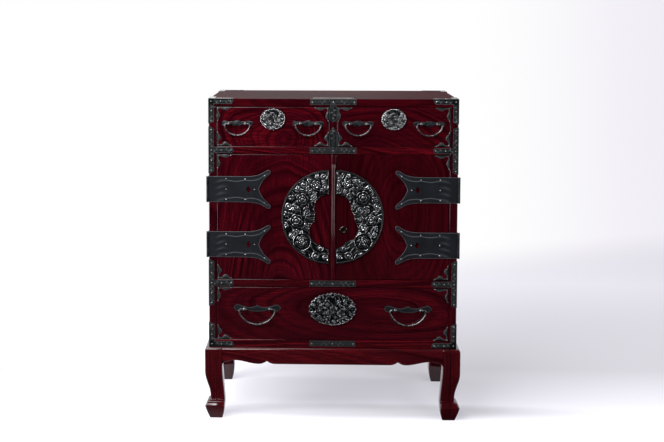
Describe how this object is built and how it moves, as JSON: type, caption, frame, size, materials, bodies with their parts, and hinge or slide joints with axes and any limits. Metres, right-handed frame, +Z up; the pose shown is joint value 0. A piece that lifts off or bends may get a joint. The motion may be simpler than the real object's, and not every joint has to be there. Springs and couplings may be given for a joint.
{
  "type": "tansu chest",
  "caption": "Lacquered wooden chest on a stand with cabriole legs, with iron-bound drawers, a cupboard with strap-hinged doors, swinging bail handles and locks.",
  "frame": {"origin": "on the floor, at the middle of the chest's whole width and depth", "axes": "+X to the viewer's right when facing the chest, +Y to its back, +Z up"},
  "size_m": [0.784, 0.453, 0.9932],
  "materials": {
    "stand_lacquer": "dark red glossy lacquer over wood",
    "case_lacquer": "deep red glossy lacquer over figured wood",
    "plain_wood": "plain planed softwood",
    "black_iron": "satin blue-black iron sheet",
    "relief_iron": "blackened iron relief, bright on its high places",
    "handle_iron": "blackened iron, rubbed bright",
    "lock_steel": "plain steel"
  },
  "bodies": {
    "case": {"stand_front_legs": "stand_lacquer", "stand_back_legs": "stand_lacquer", "stand_long_aprons": "stand_lacquer", "stand_cross_aprons": "stand_lacquer", "bottom_board": "case_lacquer", "top_board": "case_lacquer", "left_side_board": "case_lacquer", "right_side_board": "case_lacquer", "upper_shelf": "case_lacquer", "lower_shelf": "case_lacquer", "centre_partition": "case_lacquer", "back_panel": "plain_wood", "inner_shelf": "plain_wood", "case_corner_irons": "black_iron", "case_edge_irons": "black_iron", "hinge_side_plates": "black_iron", "hinge_pins": "lock_steel"},
    "left_door": {"left_door_board": "case_lacquer", "meeting_bar": "case_lacquer", "left_half_disc": "relief_iron", "left_door_straps": "black_iron", "left_door_corner_irons": "black_iron"},
    "right_door": {"right_door_board": "case_lacquer", "right_half_disc": "relief_iron", "right_door_straps": "black_iron", "right_door_corner_irons": "black_iron", "keyhole_ring": "handle_iron", "door_lock_case": "lock_steel"},
    "door_bolt": {"door_lock_bolt": "lock_steel"},
    "left_drawer": {"left_drawer_front": "case_lacquer", "left_drawer_walls": "plain_wood", "left_drawer_bottom": "plain_wood", "left_drawer_corner_irons": "black_iron", "left_drawer_lock_plate": "relief_iron", "left_drawer_lock_case": "lock_steel", "left_drawer_handle_mounts": "handle_iron"},
    "left_drawer_bolt": {"left_drawer_lock_bolt": "lock_steel"},
    "left_bail_a": {"left_drawer_bail_a": "handle_iron"},
    "left_bail_b": {"left_drawer_bail_b": "handle_iron"},
    "right_drawer": {"right_drawer_front": "case_lacquer", "right_drawer_walls": "plain_wood", "right_drawer_bottom": "plain_wood", "right_drawer_corner_irons": "black_iron", "right_drawer_lock_plate": "relief_iron", "right_drawer_lock_case": "lock_steel", "right_drawer_handle_mounts": "handle_iron"},
    "right_drawer_bolt": {"right_drawer_lock_bolt": "lock_steel"},
    "right_bail_a": {"right_drawer_bail_a": "handle_iron"},
    "right_bail_b": {"right_drawer_bail_b": "handle_iron"},
    "lower_drawer": {"lower_drawer_front": "case_lacquer", "lower_drawer_walls": "plain_wood", "lower_drawer_bottom": "plain_wood", "lower_drawer_corner_irons": "black_iron", "lower_drawer_lock_plate": "relief_iron", "lower_drawer_lock_case": "lock_steel", "lower_drawer_handle_mounts": "handle_iron"},
    "lower_drawer_bolt": {"lower_drawer_lock_bolt": "lock_steel"},
    "lower_bail_a": {"lower_drawer_bail_a": "handle_iron"},
    "lower_bail_b": {"lower_drawer_bail_b": "handle_iron"}
  },
  "joints": [
    {"name": "left_door_hinge", "type": "hinge", "parent": "case", "child": "left_door", "pos_m": [-0.3832, -0.21145, 0.63], "axis": [0, 0, -1], "range_deg": [0, 180]},
    {"name": "right_door_hinge", "type": "hinge", "parent": "case", "child": "right_door", "pos_m": [0.3832, -0.21145, 0.63], "axis": [0, 0, 1], "range_deg": [0, 180]},
    {"name": "door_bolt_slide", "type": "slide", "parent": "right_door", "child": "door_bolt", "axis": [-1, 0, 0], "range_m": [0, 0.008]},
    {"name": "left_drawer_slide", "type": "slide", "parent": "case", "child": "left_drawer", "axis": [0, -1, 0], "range_m": [0, 0.3]},
    {"name": "left_drawer_bolt_slide", "type": "slide", "parent": "left_drawer", "child": "left_drawer_bolt", "axis": [0, 0, 1], "range_m": [0, 0.008]},
    {"name": "left_bail_a_swing", "type": "hinge", "parent": "left_drawer", "child": "left_bail_a", "pos_m": [-0.2912, -0.22095, 0.917], "axis": [-1, 0, 0], "range_deg": [0, 150]},
    {"name": "left_bail_b_swing", "type": "hinge", "parent": "left_drawer", "child": "left_bail_b", "pos_m": [-0.0758, -0.22095, 0.917], "axis": [-1, 0, 0], "range_deg": [0, 150]},
    {"name": "right_drawer_slide", "type": "slide", "parent": "case", "child": "right_drawer", "axis": [0, -1, 0], "range_m": [0, 0.3]},
    {"name": "right_drawer_bolt_slide", "type": "slide", "parent": "right_drawer", "child": "right_drawer_bolt", "axis": [0, 0, 1], "range_m": [0, 0.008]},
    {"name": "right_bail_a_swing", "type": "hinge", "parent": "right_drawer", "child": "right_bail_a", "pos_m": [0.0758, -0.22095, 0.917], "axis": [-1, 0, 0], "range_deg": [0, 150]},
    {"name": "right_bail_b_swing", "type": "hinge", "parent": "right_drawer", "child": "right_bail_b", "pos_m": [0.2912, -0.22095, 0.917], "axis": [-1, 0, 0], "range_deg": [0, 150]},
    {"name": "lower_drawer_slide", "type": "slide", "parent": "case", "child": "lower_drawer", "axis": [0, -1, 0], "range_m": [0, 0.3]},
    {"name": "lower_drawer_bolt_slide", "type": "slide", "parent": "lower_drawer", "child": "lower_drawer_bolt", "axis": [0, 0, 1], "range_m": [0, 0.008]},
    {"name": "lower_bail_a_swing", "type": "hinge", "parent": "lower_drawer", "child": "lower_bail_a", "pos_m": [-0.231, -0.22095, 0.3457], "axis": [-1, 0, 0], "range_deg": [0, 150]},
    {"name": "lower_bail_b_swing", "type": "hinge", "parent": "lower_drawer", "child": "lower_bail_b", "pos_m": [0.231, -0.22095, 0.3457], "axis": [-1, 0, 0], "range_deg": [0, 150]}
  ]
}
